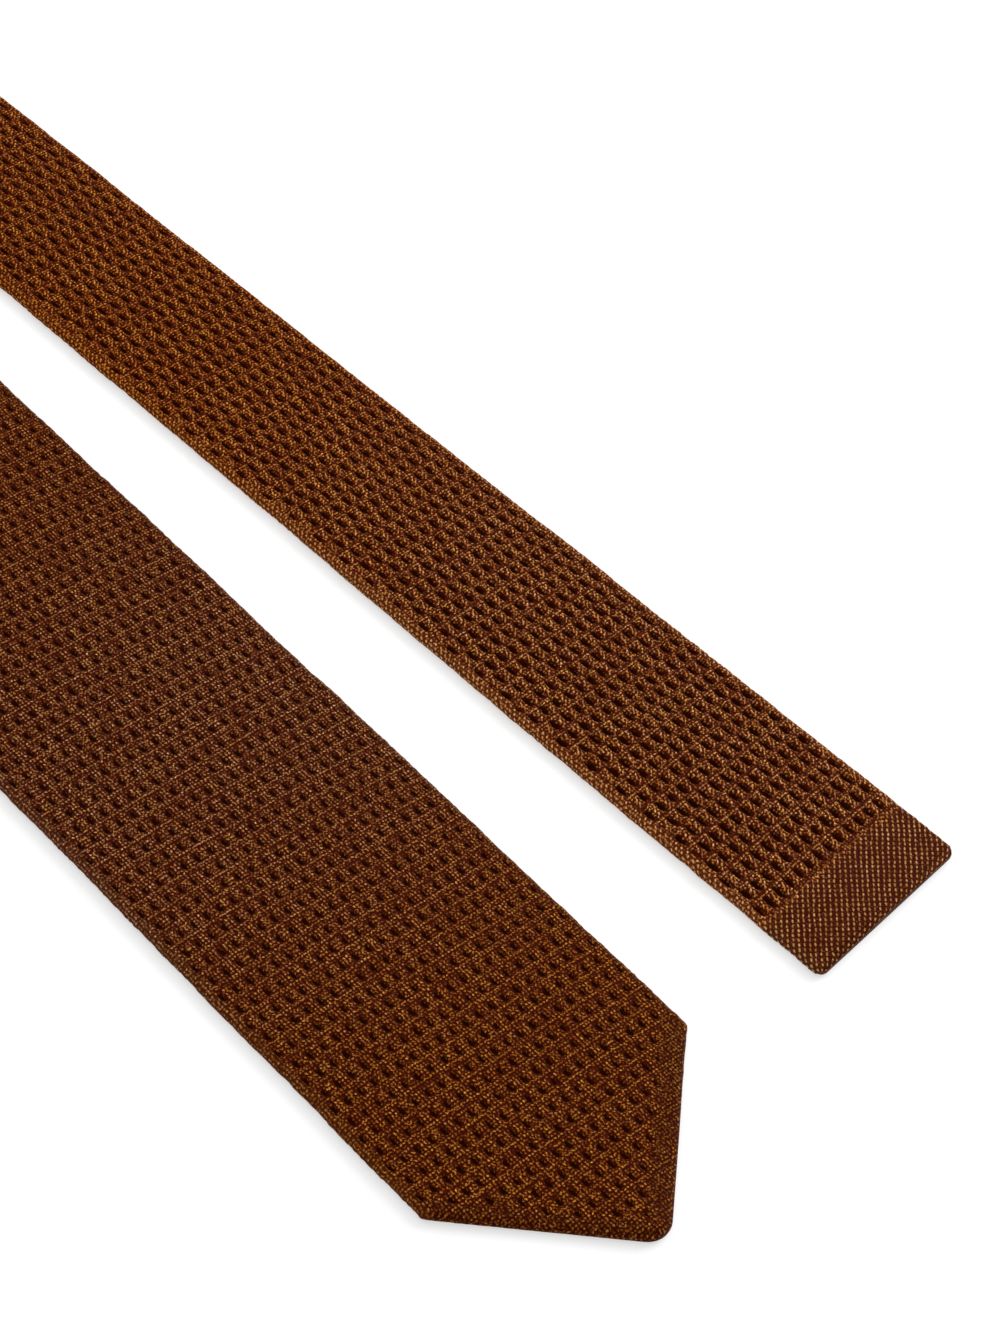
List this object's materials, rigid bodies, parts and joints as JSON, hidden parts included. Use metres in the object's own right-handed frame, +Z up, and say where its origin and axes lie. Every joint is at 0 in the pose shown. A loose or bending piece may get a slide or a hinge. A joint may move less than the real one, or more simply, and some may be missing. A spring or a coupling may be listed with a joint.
{
  "type": "knit tie",
  "caption": "Silk knit tie lying face up, pointed wide blade beside square-ended narrow tail, joined by a neckband that stands on its edge and loops round like a collar.",
  "frame": {"origin": "on the surface that the tie lies on, under the middle of its overall box", "axes": "+Z up out of the tie's face, +Y along the legs from the two ends towards the neck, +X from the wide blade towards the narrow tail"},
  "size_m": [0.1356, 0.7164, 0.0354],
  "materials": {
    "open_knit": "openwork silk knit with a soft sheen, copper brown",
    "plain_knit": "close plain silk knit with a soft sheen, copper brown"
  },
  "bodies": {
    "root": {"wide_blade": "open_knit", "neckband": "open_knit", "narrow_tail": "open_knit", "tail_end_band": "plain_knit"}
  },
  "joints": []
}
